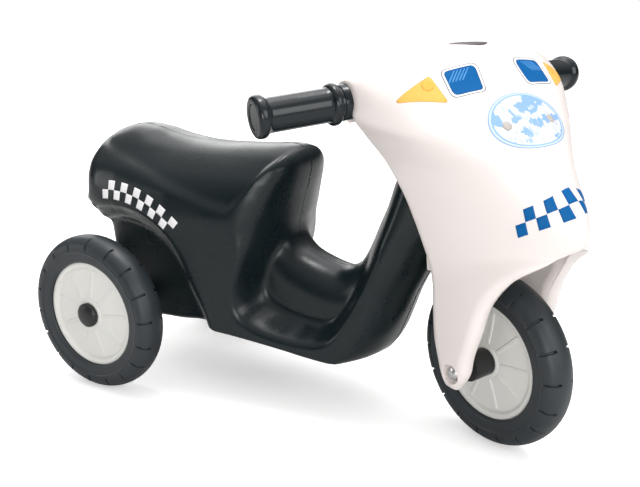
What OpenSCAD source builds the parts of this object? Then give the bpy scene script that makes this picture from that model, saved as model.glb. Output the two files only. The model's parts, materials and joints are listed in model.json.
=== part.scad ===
// Toddler's ride-on scooter with a blow-moulded body, a moulded front fork and fairing,
// and three plastic wheels. X points forward, Y to the rider's left, Z up, ground at Z = 0.

/* [Chassis] */
// Distance between the rear axle and the front axle
wheelbase = 400.5; // [400:0.5:402]
// Steering angle at rest, negative towards the rider's right
steer_angle = -22.5; // [-24:0.5:-20]
// Backward lean of the steering axis
rake = 5.5; // [5:0.5:6]
// Wall thickness of the blow-moulded body
body_wall = 3; // [2.5:0.5:3]

/* [Wheels] */
// Outside radius of every tyre
tyre_r = 82.2; // [81.5:0.1:82.5]
// Half of the tyre's width
tyre_half_w = 16.7; // [16:0.1:17]
// Radius of the visible wheel disc
disc_r = 55.4; // [54:0.2:56]
// Distance from the centre plane to the middle of a rear wheel
rear_wheel_y = 108.4; // [108:0.2:110]
// Radius of the wheel's centre bore
hub_bore_r = 6.06; // [6.04:0.01:6.08]

/* [Handlebar] */
// Distance along the handlebar from the middle to the outer end of a grip
grip_end = 194; // [190:1:198]
// Radius of the grip's flanges
grip_flange_r = 17.8; // [17:0.2:18.6]
// Backward sweep of each half of the handlebar
sweep = 12.4; // [12:0.2:12.8]
// Downward slope of each half of the handlebar
droop = 3.8; // [3.4:0.2:4.2]
// Outside radius of the handlebar tube
bar_r = 10; // [9.5:0.5:10]

/* [Hidden] */

// Place of the origin: under the middle of the model's bounding box, on the ground
origin_x = 200.9;
origin_y = 17;

// Steering axis: it passes through this point of the centre plane
pivot = [371.8, 0, 200];
// Where the two swept-back halves of the handlebar would meet, and the centre of the opening
// in the fairing that takes the left grip
bar_meet = [350, 0, 326.8];
ring_centre = [326, 109, 319.5];
axle_r = 6;
bolt_r = 4;
pin_r = 8;
run_gap = 0.05;
facets = 64;
hub_half = 13;
hubcap_r = 12.7;
bar_start = 17;
collar_r = 15;
grip_r = 14.4;
cap_r = 16.5;
cap_tilt = -1.5;

// ---- curves and surfaces -------------------------------------------------------------

function clamp01(t) = min(1, max(0, t));
function smooth(a, b, x) = let(t = clamp01((x - a) / (b - a))) t * t * (3 - 2 * t);
function quarter(t) = let(c = clamp01(t)) sqrt(1 - (1 - c) * (1 - c));
function unit(v) = v / max(norm(v), 1e-6);

// Point of a smooth curve through the rows of p, where s counts rows
function knot(p, i) = p[min(len(p) - 1, max(0, i))];
function along(p, s) =
    let(i = min(len(p) - 2, floor(s)), t = s - i,
        a = knot(p, i - 1), b = knot(p, i), c = knot(p, i + 1), d = knot(p, i + 2))
    0.5 * (2 * b + (c - a) * t + (2 * a - 5 * b + 4 * c - d) * t * t + (3 * b - a - 3 * c + d) * t * t * t);

// Distance from q to the segment a-b, and signed distance to a closed outline, negative inside
function seg_dist(q, a, b) = let(e = b - a, t = clamp01((q - a) * e / (e * e))) norm(q - a - e * t);
function crosses(q, a, b) = (a.y > q.y) != (b.y > q.y) && q.x < a.x + (q.y - a.y) * (b.x - a.x) / (b.y - a.y);
function count(list, i = 0, n = 0) = i == len(list) ? n : count(list, i + 1, n + (list[i] ? 1 : 0));
function outline_dist(q, p) =
    let(n = len(p),
        d = min([for (i = [0:n - 1]) seg_dist(q, p[i], p[(i + 1) % n])]),
        hits = count([for (i = [0:n - 1]) crosses(q, p[i], p[(i + 1) % n])]))
    hits % 2 == 1 ? -d : d;

// Triangles of a grid of rows by cols points whose numbers start at base; the diagonals meet
// the corners of the grid, so that no triangle lies in its rim
function turned(list, flip) = flip ? [for (f = list) [f[0], f[2], f[1]]] : list;
function grid_faces(rows, cols, base, flip) = [for (i = [0:rows - 2], j = [0:cols - 2])
    let(a = base + i * cols + j, b = a + cols, same = (2 * i < rows - 2) == (2 * j < cols - 2))
    each turned(same ? [[a, b + 1, b], [a, a + 1, b + 1]] : [[a, a + 1, b], [a + 1, b + 1, b]], flip)];
function flat(list) = [for (row = list) each row];
function mirrored(list) = [for (p = list) [p.x, -p.y, p.z]];

// ---- body shape ----------------------------------------------------------------------

// Side view of the body: each row is a point of the upper outline and the point of the
// lower outline across from it, as [x, z, x, z], from the tail to the steering head
body_rows = [[-67, 198, -60, 181], [-70, 217, -43, 165], [-64, 239, -34, 142], [-48, 256, -29, 116],
    [-24, 264.5, -25, 88], [3, 263, -12, 67], [30, 257.5, 10, 60], [60, 254, 30, 60], [90, 253.5, 48, 61],
    [120, 255, 62, 62], [150, 257, 74, 63.5], [172, 259, 84, 65], [186, 258.5, 92, 65.5],
    [194.5, 252, 98, 66], [198, 241, 103, 66], [195.5, 226, 108, 66], [190.5, 209, 114, 66],
    [186.5, 192, 122, 65.5], [183.5, 176, 133, 65], [187, 163, 151, 63.5], [197, 153.5, 179, 60.5],
    [213, 147.5, 203, 57.5], [230, 143.5, 223, 54.5], [244, 143, 238, 52.5], [257, 150, 250, 51.5],
    [266, 163, 262, 53], [273, 178, 276, 58], [280, 195, 289, 67.5], [288, 214, 299, 83],
    [295, 236, 308, 105], [303, 257, 317, 128], [313, 276, 330, 154], [325, 290, 345, 180],
    [337, 298, 371, 197], [344, 302, 392, 230], [350, 304, 389, 280], [356, 305, 378, 304]];
// Outline of the leg pocket in the side view
pocket = [[196, 244], [186, 230], [176, 206], [167, 180], [158, 145], [151, 120], [152, 102], [164, 91],
    [188, 83], [214, 79], [238, 79], [250, 84], [260, 96], [270, 112], [284, 142], [297, 175],
    [308, 204], [318, 231], [330, 290], [240, 300], [225, 240], [215, 252]];
// Outline of the saddle's side panel in the side view
panel = [[-70, 262], [-45, 247], [5, 235], [39, 226], [91, 211], [122, 203.5], [143, 200], [153, 207],
    [163, 222], [174, 240], [188, 254], [190, 290], [-60, 290]];
arch_centre = [2, 81];
arch_r = 110;
arch_half_w = 54;
pocket_half_w = 35;

// Half width of the body at a point of the side view, before its edges are rounded; grow
// spreads the wheel arch and the leg pocket, as the inside of the wall needs
function body_half_width(q, grow) =
    let(side = lookup(q.x, [[-80, 70], [-40, 77], [0, 80], [70, 80], [120, 77], [170, 70], [220, 63],
            [260, 56], [300, 50], [335, 36], [400, 33]]),
        saddle = lookup(q.y, [[190, 1], [210, 0.955], [228, 0.88], [244, 0.76], [262, 0.66]]),
        base = side * (q.x < 215 ? saddle : 1) - 5 * smooth(3, -7, outline_dist(q, panel)),
        flare = q.x > 60 ? 16 * smooth(105, 62, q.y) : 0,
        in_arch = smooth(arch_r + grow, arch_r - 22 + grow, norm(q - arch_centre) - flare),
        arched = base + (min(base, arch_half_w) - base) * in_arch,
        in_pocket = smooth(3 + grow, -26 + grow, outline_dist(q, pocket)))
    arched + (min(arched, pocket_half_w) - arched) * in_pocket;

// Fraction of the way from a to b at which the outline is at least gap away
function clear_of(a, b, edge, gap, f = 0.01) =
    f > 0.4 || -outline_dist(a + (b - a) * f, edge) > gap ? f : clear_of(a, b, edge, gap, f + 0.01);

// Points of one side of the body; inset 0 is the outside and inset body_wall the inside
body_fractions = [0, 0.012, 0.035, 0.075, 0.13, 0.2, 0.28, 0.37, 0.47, 0.57, 0.66, 0.74, 0.81,
    0.87, 0.92, 0.955, 0.982, 1];
body_rings = 84;
function body_side(inset) =
    let(last = len(body_rows) - 1,
        rows = [for (i = [0:body_rings]) along(body_rows, i * last / body_rings)],
        edge = concat([for (r = rows) [r[0], r[1]]], [for (i = [body_rings:-1:0]) [rows[i][2], rows[i][3]]]),
        first = inset > 0 ? 3 : 0)
    [for (i = [first:body_rings - first])
        let(top = [rows[i][0], rows[i][1]], low = [rows[i][2], rows[i][3]],
            start = inset > 0 ? clear_of(top, low, edge, inset + 1) : 0,
            end = inset > 0 ? 1 - clear_of(low, top, edge, inset + 1) : 1)
        [for (j = [0:len(body_fractions) - 1])
            let(f = start + (end - start) * body_fractions[j],
                q = top + (low - top) * f,
                on_rim = j == 0 || j == len(body_fractions) - 1 || i == first || i == body_rings - first,
                r_top = lookup(q.x, [[-80, 48], [0, 44], [150, 42], [200, 40], [245, 40], [300, 36]]),
                r_low = lookup(q.x, [[255, 11], [295, 30]]),
                r = r_top + (r_low - r_top) * smooth(0.3, 0.75, f),
                square = 0.75 + 0.25 * smooth(175, 270, q.x),
                half_w = body_half_width(q, 2 * inset) - inset,
                depth = on_rim ? 0 : max(0.4, -outline_dist(q, edge) - inset),
                y = half_w * pow(quarter(depth / min(r, half_w)), square))
            [q.x, -y, q.y]]];

module body_solid(inset) {
    right = body_side(inset);
    rows = len(right);
    cols = len(right[0]);
    points = flat(right);
    polyhedron(points = concat(points, mirrored(points)),
        faces = concat(grid_faces(rows, cols, 0, true), grid_faces(rows, cols, rows * cols, false)));
}

// ---- fork and fairing shape ----------------------------------------------------------

// Outer skin of the left half with the fork straight. Each row is a curve from the middle or
// from the front edge, [x, y, z], over two handles to the rear edge, and the wall thickness.
// The rows run round the handlebar shoulder, down the nose and down the fork leg.
fairing_rows = [
    [322, 0, 336, 322, 56, 340, 326, 84, 296, 326.2, 107.8, 301, 5],
    [293, 0, 345, 291, 48, 341, 300, 97, 311, 308, 105, 319.5, 5],
    [303, 0, 354, 301, 42, 351, 302, 98, 334.5, 313, 107, 332.5, 5],
    [335, 0, 360, 335, 38, 358.5, 328, 100, 340.5, 325.8, 110.2, 338, 5],
    [375, 0, 359.5, 375, 46, 359.5, 360, 111, 343.5, 338.5, 112.6, 332.5, 5],
    [402, 0, 331, 402, 46, 331, 398, 106, 325, 344, 113, 319.5, 5],
    [428, 0, 304, 428, 42, 304, 416, 99, 296, 338.9, 111, 306.5, 6],
    [447, 0, 285, 447, 33, 284, 428, 88, 280, 331, 95, 290, 9],
    [466, 0, 265, 466, 25, 263, 428, 74, 262, 336, 79, 267, 13],
    [483, 0, 243, 483, 19, 240, 432, 66, 238, 348, 71, 241, 16],
    [491, 0, 225, 491, 16, 222, 436, 61, 216, 357, 65, 214, 18],
    [491, 0, 206, 490, 15, 204, 446, 56, 198, 365, 61, 189, 20],
    [482, 22, 198, 474, 40, 193, 434, 57, 184, 369, 58, 172, 21],
    [454, 44, 178, 446, 54, 173, 418, 58, 167, 371, 57, 155, 21],
    [436, 53, 152, 427, 57, 149, 405, 58, 144, 372, 57, 134, 21],
    [427, 55, 123, 420, 58, 121, 402, 58, 118, 374, 57, 110, 21],
    [419, 56, 98, 414, 58, 97, 398, 58, 95, 379, 57, 91, 21],
    [415, 56, 80, 410, 58, 77, 402, 58, 76, 384, 57, 77, 21],
    [406, 56, 65, 403, 57, 64.5, 399, 57, 64.5, 393, 56, 65, 21]];
lip_row = 11;
ring_row = 6;
fairing_steps = 4;
fairing_fractions = [0, 0.03, 0.08, 0.15, 0.24, 0.35, 0.47, 0.6, 0.72, 0.83, 0.9, 0.955, 1];

function part_of(row, i) = [row[3 * i], row[3 * i + 1], row[3 * i + 2]];
function skin_row(s) = let(r = along(fairing_rows, s)) s > lip_row ? r : [for (k = [0:12]) k == 1 ? 0 : r[k]];
function skin_point(r, u) = pow(1 - u, 3) * part_of(r, 0) + 3 * u * pow(1 - u, 2) * part_of(r, 1)
    + 3 * u * u * (1 - u) * part_of(r, 2) + pow(u, 3) * part_of(r, 3);

// Direction from the outer skin into the wall, at the middle or front edge and at the rear edge
function inward_front(s) = s <= ring_row ? unit([345, 0, 338] - part_of(skin_row(s), 0))
    : s <= lip_row ? unit([-1, 0, -0.35 * (lip_row - s) / (lip_row - ring_row)])
    : unit([-1 + smooth(lip_row, lip_row + 2.5, s) * 0.8, -smooth(lip_row, lip_row + 2, s), 0.15]);
function inward_rear(s) = let(r = skin_row(s), ring = unit(ring_centre - part_of(r, 3)))
    s <= ring_row ? ring
    : unit(ring + ([0, -1, 0] - ring) * smooth(ring_row, ring_row + 1.5, s));

// Both faces of the left half's wall: [outer points, inner points]
function fairing_walls() =
    let(last = (len(fairing_rows) - 1) * fairing_steps,
        rim = [for (i = [lip_row * fairing_steps:last]) skin_point(skin_row(i / fairing_steps), 0)],
        foot = [for (u = fairing_fractions) skin_point(skin_row(last / fairing_steps), u)])
    [for (side = [-1, 1]) [for (i = [0:last])
        let(s = i / fairing_steps, r = skin_row(s), half = r[12] / 2,
            front = inward_front(s), rear = inward_rear(s), back_edge = part_of(r, 3))
        [for (j = [0:len(fairing_fractions) - 1])
            let(u = fairing_fractions[j], p = skin_point(r, u),
                to_rim = min(concat([for (q = rim) norm(p - q)], [for (q = foot) norm(p - q)],
                    [norm(p - back_edge)])),
                edge = i == 0 ? 0 : quarter(to_rim / half),
                into = unit(front + (rear - front) * smooth(0, 0.8, u)))
            p + into * half * (1 + side * edge)]]];

// ---- placing -------------------------------------------------------------------------

// Everything is drawn from the point on the ground under the rear axle, and moved from there
module on_frame() translate([-origin_x, -origin_y, 0]) children();

// Turns the fork and all that it carries from straight ahead to its angle at rest
module on_fork() on_frame() translate(pivot) rotate(a = steer_angle, v = [-sin(rake), 0, cos(rake)])
    translate(-pivot) children();

// Along the steering axis, h above the pivot
module on_axis(h) translate(pivot) rotate([0, -rake, 0]) translate([0, 0, h]) children();

// Across the vehicle: local Z points to the left (side = 1) or to the right (side = -1)
module across(x, y, z, side) translate([x, y, z]) rotate([-90 * side, 0, 0]) children();

// Along the handlebar: local Z runs outward from the middle to the left or to the right
module on_bar(side) translate(bar_meet) rotate([0, 0, side * sweep]) rotate([-side * (90 + droop), 0, 0])
    children();

// On the top of the fairing, at its slope, over the end of the steering pin
module on_cap() translate([356.5, 0, 360.4]) rotate([0, cap_tilt, 0]) children();

module tube(r, bore, h) difference() {
    cylinder(r = r, h = h, $fn = facets);
    translate([0, 0, -1]) cylinder(r = bore, h = h + 2, $fn = facets);
}

// ---- body ----------------------------------------------------------------------------

bush_r = 13;

// Hollow moulding, with bores for the rear axle and for the steering head's bushes
module body_shell() on_frame() color("#1c1d20") difference() {
    body_solid(0);
    body_solid(body_wall);
    across(0, -100, tyre_r, 1) cylinder(r = 9.1, h = 200, $fn = facets);
    on_axis(-60) cylinder(r = bush_r + 0.02, h = 200, $fn = facets);
}

// ---- rear axle group -----------------------------------------------------------------

axle_half = 126;

module rear_axle() on_frame() color("#b9bcc0") across(0, -axle_half, tyre_r, 1)
    cylinder(r = axle_r, h = 2 * axle_half, $fn = facets);

// Bush in the side wall of the body, with a flange outside
module rear_bush(side) on_frame() color("#222428") across(0, 0, tyre_r, side)
    rotate_extrude($fn = facets) polygon([[axle_r + run_gap, 36], [9, 36],
        [9, arch_half_w + 0.3], [14, arch_half_w + 0.3],
        [14, arch_half_w + 3], [axle_r + run_gap, arch_half_w + 3]]);
module rear_bush_right() rear_bush(-1);
module rear_bush_left() rear_bush(1);

// Spacer tube between the body and the wheel hub
module rear_spacer(side) on_frame() color("#222428")
    across(0, side * (arch_half_w + 3.3), tyre_r, side)
        tube(10, axle_r + run_gap, rear_wheel_y - hub_half - arch_half_w - 3.8);
module rear_spacer_right() rear_spacer(-1);
module rear_spacer_left() rear_spacer(1);

// ---- wheels --------------------------------------------------------------------------

// Wheel disc with hub and raised lip, its axis along local Z
module rim() rotate_extrude($fn = 96) polygon([
    [hub_bore_r, -hub_half], [14, -hub_half], [15, -11.6], [disc_r - 8, -8.6], [disc_r - 6.5, -11.2],
    [disc_r - 4, -12], [disc_r, -11.6], [disc_r + 2, -8], [disc_r + 2, 8], [disc_r, 11.6],
    [disc_r - 4, 12], [disc_r - 6.5, 11.2], [disc_r - 8, 8.6], [15, 11.6], [14, hub_half],
    [hub_bore_r, hub_half]]);

// Tyre: rounded tread and shoulders over the rim's seat
module tyre() rotate_extrude($fn = 96) polygon(concat(
    [[disc_r + 2.05, -8], [disc_r + 0.1, -11.7], [disc_r + 0.6, -13.4], [disc_r + 3, -15.2]],
    [for (a = [-80:10:80]) [tyre_r - 19 + 19 * pow(max(0, cos(a)), 0.62), tyre_half_w * sin(a)]],
    [[disc_r + 3, 15.2], [disc_r + 0.6, 13.4], [disc_r + 0.1, 11.7], [disc_r + 2.05, 8]]));

module rear_wheel_place(side) on_frame() across(0, side * rear_wheel_y, tyre_r, side) children();
module rim_rear_right() color("#d5d6d0") rear_wheel_place(-1) rim();
module rim_rear_left() color("#d5d6d0") rear_wheel_place(1) rim();
module tyre_rear_right() color("#232528") rear_wheel_place(-1) tyre();
module tyre_rear_left() color("#232528") rear_wheel_place(1) tyre();

// Domed cap pushed on the end of the rear axle
module hubcap(side) color("#15161a") rear_wheel_place(side) rotate_extrude($fn = facets)
    polygon(concat([[0, 17.7], [axle_r + 0.02, 17.7], [axle_r + 0.02, hub_half + 0.4],
        [hubcap_r, hub_half + 0.4]],
        [for (a = [0:15:75]) [hubcap_r * cos(a), 16.6 + 4.4 * sin(a)]], [[0, 21]]));
module hubcap_right() hubcap(-1);
module hubcap_left() hubcap(1);

module rim_front() color("#d5d6d0") on_fork() across(wheelbase, 0, tyre_r, 1) rim();
module tyre_front() color("#232528") on_fork() across(wheelbase, 0, tyre_r, 1) tyre();

// ---- front axle ----------------------------------------------------------------------

leg_inner_y = 35.5;
bolt_head_y = 52;

// Carriage bolt across the fork; its domed head sits in a recess of the right leg
module front_bolt() on_fork() color("#c3c5c8") across(wheelbase, 0, tyre_r, -1)
    rotate_extrude($fn = facets) polygon([[0, -bolt_head_y - 4], [bolt_r, -bolt_head_y - 4],
        [bolt_r, bolt_head_y], [7, bolt_head_y], [6.6, 53.6], [5.4, 55], [3, 56.1], [0, 56.4]]);

module front_nut() on_fork() color("#c3c5c8") across(wheelbase, bolt_head_y, tyre_r, 1) difference() {
    cylinder(r = 7, h = 4.2, $fn = 6);
    translate([0, 0, -1]) cylinder(r = bolt_r + 0.02, h = 6.2, $fn = facets);
}

// Spacer between a fork leg and the wheel; its spigot is the wheel's bearing
module front_spacer(side) on_fork() color("#17181b") across(wheelbase, 0, tyre_r, side)
    rotate_extrude($fn = facets) polygon([[bolt_r + 0.02, 0.6], [axle_r, 0.6],
        [axle_r, hub_half + 0.4], [hubcap_r, hub_half + 0.4], [hubcap_r, leg_inner_y - 0.1],
        [bolt_r + 0.02, leg_inner_y - 0.1]]);
module front_spacer_right() front_spacer(-1);
module front_spacer_left() front_spacer(1);

// ---- fork and fairing ----------------------------------------------------------------

bridge_low = -32;
bridge_top = -18.2;
boss_low = 112;
boss_top = 158;
pin_top = 154.5;

module fairing_wall() {
    walls = fairing_walls();
    rows = len(walls[0]);
    cols = len(walls[0][0]);
    n = rows * cols;
    outer = flat(walls[0]);
    inner = flat(walls[1]);
    polyhedron(points = concat(outer, inner, mirrored(outer), mirrored(inner)),
        faces = concat(grid_faces(rows, cols, 0, false), grid_faces(rows, cols, n, true),
            grid_faces(rows, cols, 2 * n, true), grid_faces(rows, cols, 3 * n, false)));
}

module fork_fairing() on_fork() color("#efe6e2") difference() {
    union() {
        fairing_wall();
        // bridge over the wheel, which carries the lower end of the steering pin
        hull() {
            on_axis(bridge_low) cylinder(r = 17, h = bridge_top - bridge_low, $fn = 32);
            for (side = [-1, 1]) translate([384, side * 46, 174.5])
                cube([26, 8, 12], center = true);
        }
        // boss under the top skin, which carries the upper end of the pin
        on_axis(boss_low) cylinder(r = 16, h = boss_top - boss_low, $fn = facets);
        // sockets for the two handlebar tubes
        for (side = [-1, 1]) on_bar(side) translate([0, 0, 4])
            cylinder(r = bar_r + 4, h = 56, $fn = facets);
        // flat pads where the front axle passes through the legs
        for (side = [-1, 1]) across(wheelbase, side * leg_inner_y, tyre_r, side)
            cylinder(r = 14, h = 16, $fn = facets);
    }
    on_axis(bridge_low - 10) cylinder(r = pin_r, h = 200, $fn = facets);
    on_cap() translate([0, 0, -2]) cylinder(r = cap_r, h = 20, $fn = facets);
    across(wheelbase, -80, tyre_r, 1) cylinder(r = bolt_r + 0.02, h = 160, $fn = facets);
    for (side = [-1, 1]) across(wheelbase, side * bolt_head_y, tyre_r, side)
        cylinder(r = 9, h = 20, $fn = facets);
    for (side = [-1, 1]) on_bar(side) {
        translate([0, 0, bar_start]) cylinder(r = bar_r, h = 100, $fn = facets);
        translate([0, 0, 98]) cylinder(r = collar_r, h = 40, $fn = facets);
    }
}

// Steel pin of the steering joint
module steering_pin() on_fork() color("#b9bcc0")
    on_axis(bridge_low) cylinder(r = pin_r, h = pin_top - bridge_low, $fn = facets);

// Bearing bushes in the two ends of the steering head
module steering_bush(h, depth, flip) on_frame() color("#34363a") on_axis(h) mirror([0, 0, flip])
    rotate_extrude($fn = facets)
        polygon([[pin_r + run_gap, -depth], [bush_r, -depth], [bush_r, 0], [bush_r + 3, 0],
            [bush_r + 3, 3], [pin_r + run_gap, 3]]);
module steering_bush_upper() steering_bush(105.4, 17, 0);
module steering_bush_lower() steering_bush(-12.8, 27, 1);

// Thrust washer between the lower bush and the bridge of the fork
module steering_washer() on_fork() color("#b9bcc0")
    on_axis(bridge_top + 0.1) tube(15, pin_r + 0.02, 1.6);

// Cap over the end of the steering pin, let into the top of the fairing
module steering_cap() on_fork() color("#3a3036") on_cap() rotate_extrude($fn = facets)
    polygon([[0, -1.9], [cap_r - 0.05, -1.9], [cap_r - 0.05, 0.2], [cap_r - 0.8, 0.7], [12, 0.9], [0, 1]]);

// ---- handlebar -----------------------------------------------------------------------

module handlebar_tube(side) on_fork() color("#b9bcc0") on_bar(side) translate([0, 0, bar_start + 0.2])
    tube(bar_r - 0.02, bar_r - 1.5, grip_end - 5.2 - bar_start);
module handlebar_tube_right() handlebar_tube(-1);
module handlebar_tube_left() handlebar_tube(1);

// Grip with a rounded end flange, an inner ring and a collar that seats in the fairing
module grip(side) on_fork() color("#141518") on_bar(side) rotate_extrude($fn = facets)
    polygon([[bar_r + 0.02, 99], [collar_r - 0.02, 99], [collar_r - 0.02, 117.5], [14, 118], [14, 120],
        [grip_flange_r - 1.2, 121], [grip_flange_r, 123.4], [grip_flange_r, 125.6],
        [grip_flange_r - 1.2, 128],
        [14.8, 129.4], [grip_r, 132], [grip_r, grip_end - 13], [15.4, grip_end - 10.4],
        [grip_flange_r - 1, grip_end - 8], [grip_flange_r, grip_end - 6.4], [grip_flange_r, grip_end - 3.4],
        [grip_flange_r - 1, grip_end - 1.4], [14.6, grip_end], [0, grip_end], [0, grip_end - 4.8],
        [bar_r + 0.02, grip_end - 4.8]]);
module grip_right() grip(-1);
module grip_left() grip(1);

body_shell();
fork_fairing();
steering_pin();
steering_bush_upper();
steering_bush_lower();
steering_washer();
steering_cap();
handlebar_tube_right();
handlebar_tube_left();
grip_right();
grip_left();
rear_axle();
rear_bush_right();
rear_bush_left();
rear_spacer_right();
rear_spacer_left();
rim_rear_right();
rim_rear_left();
tyre_rear_right();
tyre_rear_left();
hubcap_right();
hubcap_left();
rim_front();
tyre_front();
front_bolt();
front_nut();
front_spacer_right();
front_spacer_left();
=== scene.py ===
import json
import math

import bmesh
import bpy
import numpy as np
from mathutils import Matrix, Vector
from mathutils.bvhtree import BVHTree


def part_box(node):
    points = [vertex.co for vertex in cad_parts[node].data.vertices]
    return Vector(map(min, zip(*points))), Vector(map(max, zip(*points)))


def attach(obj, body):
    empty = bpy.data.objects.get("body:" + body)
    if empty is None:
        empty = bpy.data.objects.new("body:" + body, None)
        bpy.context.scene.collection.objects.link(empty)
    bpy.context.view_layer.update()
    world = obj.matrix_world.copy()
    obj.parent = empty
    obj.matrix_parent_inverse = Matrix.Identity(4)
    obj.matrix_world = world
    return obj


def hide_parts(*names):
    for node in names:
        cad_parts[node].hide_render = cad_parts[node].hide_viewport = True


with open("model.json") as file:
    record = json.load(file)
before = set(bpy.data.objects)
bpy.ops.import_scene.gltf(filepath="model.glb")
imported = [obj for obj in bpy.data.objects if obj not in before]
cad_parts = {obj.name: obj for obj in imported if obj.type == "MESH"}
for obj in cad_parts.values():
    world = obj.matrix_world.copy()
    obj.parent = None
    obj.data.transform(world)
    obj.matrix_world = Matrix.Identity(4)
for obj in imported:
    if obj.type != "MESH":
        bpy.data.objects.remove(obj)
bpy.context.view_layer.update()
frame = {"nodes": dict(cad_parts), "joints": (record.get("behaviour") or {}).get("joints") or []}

# ---------------------------------------------------------------------------------------------
# Places. Shapes are worked out in millimetres from the ground under the rear axle, with the fork
# straight ahead, and then moved to the frame.

MM = 0.001
AXLE_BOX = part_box("rear_axle")
AXLE = (Vector(AXLE_BOX[0]) + Vector(AXLE_BOX[1])) / 2
ORIGIN = Vector((AXLE.x, AXLE.y, 0.0))
AXLE_Z = AXLE.z / MM
STEERING = next(j for j in frame["joints"] if j["name"] == "steering")
STEER_REST = math.radians(-22.5)
STEER_POINT = Vector(STEERING["pos_m"])
STEER_TURN = (Matrix.Translation(STEER_POINT)
              @ Matrix.Rotation(STEER_REST, 4, Vector(STEERING["axis"]))
              @ Matrix.Translation(-STEER_POINT))
TO_FRAME = Matrix.Translation(ORIGIN) @ Matrix.Scale(MM, 4)
TO_FORK = STEER_TURN @ TO_FRAME
WHEELBASE = 400.5
REAR_WHEEL_Y = 108.4


def smooth(a, b, x):
    """Smooth step from 0 at a to 1 at b."""
    t = np.clip((x - a) / (b - a), 0, 1)
    return t * t * (3 - 2 * t)


def quarter(t):
    """Quarter round: rises steeply from 0 and is level at 1."""
    c = np.clip(t, 0, 1)
    return np.sqrt(1 - (1 - c) ** 2)


def unit(v):
    """Vectors of length one along the last axis."""
    return v / np.maximum(np.linalg.norm(v, axis=-1, keepdims=True), 1e-9)


def along(rows, s):
    """Points of a smooth curve through the rows, where s counts rows."""
    rows = np.asarray(rows, float)
    last = len(rows) - 1
    i = np.minimum(last - 1, np.floor(s)).astype(int)
    t = (s - i)[:, None]
    a, b, c, d = (rows[np.clip(i + k, 0, last)] for k in (-1, 0, 1, 2))
    return 0.5 * (2 * b + (c - a) * t + (2 * a - 5 * b + 4 * c - d) * t ** 2
                  + (3 * b - a - 3 * c + d) * t ** 3)


def outline_dist(q, p):
    """Signed distance of the points q to the closed outline p, negative inside."""
    q, p = np.asarray(q, float), np.asarray(p, float)
    best = np.full(len(q), 1e18)
    inside = np.zeros(len(q), bool)
    for a, b in zip(p, np.roll(p, -1, axis=0)):
        e = b - a
        length2 = e @ e
        if length2 < 1e-12:
            continue
        w = q - a
        t = np.clip(w @ e / length2, 0, 1)
        d = w - t[:, None] * e
        best = np.minimum(best, (d * d).sum(1))
        if a[1] != b[1]:
            cross = ((a[1] > q[:, 1]) != (b[1] > q[:, 1])) \
                & (q[:, 0] < a[0] + (q[:, 1] - a[1]) * e[0] / e[1])
            inside ^= cross
    return np.where(inside, -1, 1) * np.sqrt(best)


def table(points, x):
    """Values at x, read between the pairs of the table."""
    p = np.asarray(points, float)
    return np.interp(x, p[:, 0], p[:, 1])


def grid_faces(rows, cols, base=0, closed=False):
    """Quads over a grid of points, closed round its columns if wanted."""
    spans = cols if closed else cols - 1
    i, j = np.meshgrid(np.arange(rows - 1), np.arange(spans), indexing="ij")
    a = base + i * cols + j
    b = base + i * cols + (j + 1) % cols
    return np.stack([a, b, b + cols, a + cols], -1).reshape(-1, 4).tolist()


def linked(name, data):
    """A new object in the scene."""
    obj = bpy.data.objects.new(name, data)
    bpy.context.scene.collection.objects.link(obj)
    return obj


def shade_smooth(mesh, sharp=None):
    """Smooth shading, with edges sharper than the angle in degrees kept."""
    mesh.polygons.foreach_set("use_smooth", [True] * len(mesh.polygons))
    if sharp:
        mesh.set_sharp_from_angle(angle=math.radians(sharp))


WELD = 0.004        # points nearer than this many millimetres become one
DEGENERATE = 1e-5   # edges shorter than this are dissolved


def new_mesh(name, points, faces, matrix=TO_FRAME, sharp=None):
    """A mesh object from points in millimetres, welded, smooth and facing outward."""
    mesh = bpy.data.meshes.new(name)
    mesh.from_pydata([tuple(p) for p in np.asarray(points, float)], [], faces)
    bm = bmesh.new()
    bm.from_mesh(mesh)
    bmesh.ops.remove_doubles(bm, verts=bm.verts, dist=WELD)
    bmesh.ops.dissolve_degenerate(bm, edges=bm.edges, dist=DEGENERATE)
    bmesh.ops.recalc_face_normals(bm, faces=bm.faces)
    bm.transform(matrix)
    bm.to_mesh(mesh)
    bm.free()
    shade_smooth(mesh, sharp)
    return linked(name, mesh)


def piece(obj, body, slot, material, *nodes):
    """Gives a piece its body and its material, and hides the CAD nodes it stands for; the slot
    argument is not used.
    """
    obj.data.materials.clear()
    obj.data.materials.append(material)
    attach(obj, body)
    if nodes:
        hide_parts(*nodes)
    return obj


# ---------------------------------------------------------------------------------------------
# Materials

def plug(node, *ordered, **named):
    """Sets or links inputs of a node, by order or by name, where a name has _ for each space."""
    pairs = list(enumerate(ordered)) + [(k.replace("_", " "), v) for k, v in named.items()]
    for key, value in pairs:
        if isinstance(value, bpy.types.NodeSocket):
            node.id_data.links.new(value, node.inputs[key])
        else:
            node.inputs[key].default_value = value
    return node


def add_node(tree, kind, *ordered, setup=(), **named):
    """A new shader node, with pairs of property and value for its setup, and its inputs."""
    node = tree.nodes.new("ShaderNode" + kind)
    for key, value in setup:
        setattr(node, key, value)
    return plug(node, *ordered, **named)


def new_material(name):
    """A node material; returns it with its shader and the object's own coordinates."""
    mat = bpy.data.materials.new(name)
    mat.use_nodes = True
    coords = add_node(mat.node_tree, "TexCoord").outputs["Object"]
    return mat, mat.node_tree.nodes["Principled BSDF"], coords


def noise(coords, scale, detail, roughness=0.5, distortion=0.0):
    return add_node(coords.id_data, "TexNoise", Vector=coords, Scale=scale, Detail=detail,
                    Roughness=roughness, Distortion=distortion).outputs["Fac"]


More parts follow.
